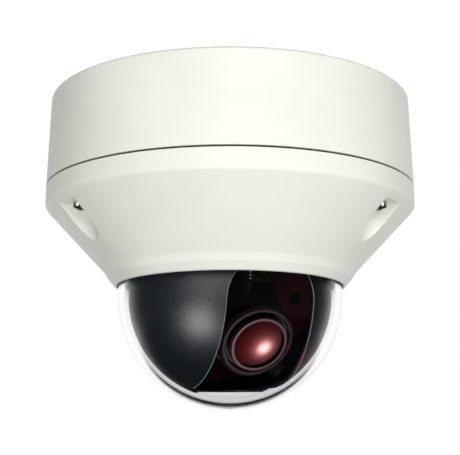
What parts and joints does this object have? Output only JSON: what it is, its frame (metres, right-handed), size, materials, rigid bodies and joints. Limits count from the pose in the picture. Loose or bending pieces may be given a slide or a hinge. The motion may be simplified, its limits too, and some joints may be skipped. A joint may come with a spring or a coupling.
{
  "type": "ptz dome camera",
  "caption": "Ceiling dome camera: round base, conical cover, clear dome, dark liner with a viewing slot, and a gimballed lens that pans, tilts, rotates, zooms and focuses.",
  "frame": {"origin": "centre of the flat face that lies against the ceiling", "axes": "+Z out of that face, up into the ceiling; -Y is the front; the camera hangs towards -Z"},
  "size_m": [0.1631, 0.1631, 0.1363],
  "materials": {
    "ivory_coat": "satin powder coat, warm ivory",
    "ivory_plastic": "moulded, warm ivory",
    "black_rubber": "moulded seal",
    "grey_rubber": "moulded seal",
    "stainless": "machined",
    "black_screw": "black oxide",
    "clear_polycarbonate": "clear, polished",
    "black_metal": "satin black",
    "zinc_steel": "zinc plated sheet",
    "green_board": "solder mask over woven glass",
    "green_terminal": "moulded",
    "brass": "machined",
    "bronze": "sintered, oiled",
    "connector_shell": "stamped shell",
    "capacitor_can": "sleeved can",
    "chip": "moulded package",
    "machined_aluminium": "turned",
    "motor_can": "drawn can",
    "gear_plastic": "acetal",
    "liner_plastic": "fine matte texture, slate black",
    "head_plastic": "black moulded",
    "filter_glass": "coated",
    "lens_metal": "black anodised",
    "lens_ring": "black, ribbed",
    "red_glass": "coated lens",
    "retainer_metal": "turned",
    "lens_glass": "coated",
    "knob_metal": "blue-black, knurled"
  },
  "bodies": {
    "root": {"base_housing": "ivory_coat", "conduit_plug": "ivory_plastic", "conduit_oring": "black_rubber", "main_gasket": "grey_rubber", "cover_shell": "ivory_coat", "cover_screws": "stainless", "dome_gasket": "black_rubber", "clear_dome": "clear_polycarbonate", "dome_retaining_ring": "black_metal", "ring_screws": "stainless", "chassis_plate": "zinc_steel", "chassis_screws": "stainless", "main_board": "green_board", "power_board": "green_board", "board_spacers": "brass", "board_screws": "stainless", "network_jack": "connector_shell", "power_terminal": "green_terminal", "capacitors": "capacitor_can", "processor_chip": "chip", "heat_sink": "black_metal", "pan_spindle": "machined_aluminium", "pan_lock_nut": "brass", "pan_motor": "motor_can"},
    "pan_drive": {"pan_pinion": "brass"},
    "pan_head": {"turntable": "machined_aluminium", "pan_gear": "gear_plastic", "pan_bush": "bronze", "yoke_arm_left": "black_metal", "yoke_arm_right": "black_metal", "yoke_screws": "stainless", "tilt_bushes": "bronze", "inner_liner": "liner_plastic", "liner_screws": "black_screw", "tilt_motor_bracket": "zinc_steel", "tilt_motor": "motor_can", "status_board": "green_board"},
    "tilt_drive": {"tilt_pinion": "brass"},
    "tilt_head": {"tilt_frame": "head_plastic", "tilt_pivots": "stainless", "tilt_gear": "gear_plastic"},
    "lens_unit": {"azimuth_disc": "head_plastic", "disc_retainer": "black_metal", "sensor_housing": "head_plastic", "sensor_board": "green_board", "image_sensor": "chip", "infrared_filter": "filter_glass", "lens_barrel": "lens_metal", "front_lens": "red_glass", "front_retaining_ring": "retainer_metal", "zoom_motor": "motor_can", "zoom_motor_bracket": "zinc_steel"},
    "zoom_drive": {"zoom_pinion": "brass"},
    "zoom_collar": {"zoom_ring": "lens_ring"},
    "zoom_slide": {"zoom_cell": "lens_metal", "zoom_lens": "lens_glass"},
    "focus_collar": {"focus_ring": "lens_ring"},
    "focus_slide": {"focus_cell": "lens_metal", "focus_lens": "lens_glass"},
    "knob": {"lock_knob": "knob_metal"}
  },
  "joints": [
    {"name": "pan", "type": "hinge", "parent": "root", "child": "pan_head", "pos_m": [0, 0, -0.046], "axis": [0, 0, 1], "range_deg": [-170, 170]},
    {"name": "pan_motor_spin", "type": "hinge", "parent": "root", "child": "pan_drive", "pos_m": [0, -0.0516, -0.043], "axis": [0, 0, 1], "range_deg": [-1400, 1400]},
    {"name": "tilt", "type": "hinge", "parent": "pan_head", "child": "tilt_head", "pos_m": [0, 0, -0.09], "axis": [0.9107, 0.4131, 0], "range_deg": [-20, 55]},
    {"name": "tilt_motor_spin", "type": "hinge", "parent": "pan_head", "child": "tilt_drive", "pos_m": [0.01754, 0.02088, -0.05767], "axis": [0.9107, 0.4131, 0], "range_deg": [-345, 130]},
    {"name": "lens_rotation", "type": "hinge", "parent": "tilt_head", "child": "lens_unit", "pos_m": [0, 0, -0.09], "axis": [0.3384, -0.746, -0.5736], "range_deg": [-100, 100]},
    {"name": "zoom_ring_turn", "type": "hinge", "parent": "lens_unit", "child": "zoom_collar", "pos_m": [0.00406, -0.00895, -0.09688], "axis": [0.3384, -0.746, -0.5736], "range_deg": [-45, 45]},
    {"name": "zoom_motor_spin", "type": "hinge", "parent": "lens_unit", "child": "zoom_drive", "pos_m": [0.01435, 0.00534, -0.10939], "axis": [0.3384, -0.746, -0.5736], "range_deg": [-225, 225]},
    {"name": "zoom_cell_travel", "type": "slide", "parent": "lens_unit", "child": "zoom_slide", "axis": [0.3384, -0.746, -0.5736], "range_m": [-0.0024, 0.0024]},
    {"name": "focus_ring_turn", "type": "hinge", "parent": "lens_unit", "child": "focus_collar", "pos_m": [0.00846, -0.01865, -0.10434], "axis": [0.3384, -0.746, -0.5736], "range_deg": [-60, 60]},
    {"name": "focus_cell_travel", "type": "slide", "parent": "lens_unit", "child": "focus_slide", "axis": [0.3384, -0.746, -0.5736], "range_m": [-0.0016, 0.0016]},
    {"name": "lock_knob_turn", "type": "hinge", "parent": "focus_collar", "child": "knob", "pos_m": [0.00664, -0.02799, -0.0863], "axis": [-0.0233, -0.616, 0.7874], "range_deg": [-180, 180]}
  ],
  "couplings": [
    {"joint": "pan_motor_spin", "follows": "pan", "ratio": -8.2143},
    {"joint": "tilt_motor_spin", "follows": "tilt", "ratio": -6.1667},
    {"joint": "zoom_motor_spin", "follows": "zoom_ring_turn", "ratio": -5},
    {"joint": "zoom_cell_travel", "follows": "zoom_ring_turn", "m_per_rad": 0.002928},
    {"joint": "focus_cell_travel", "follows": "focus_ring_turn", "m_per_rad": 0.001432}
  ]
}
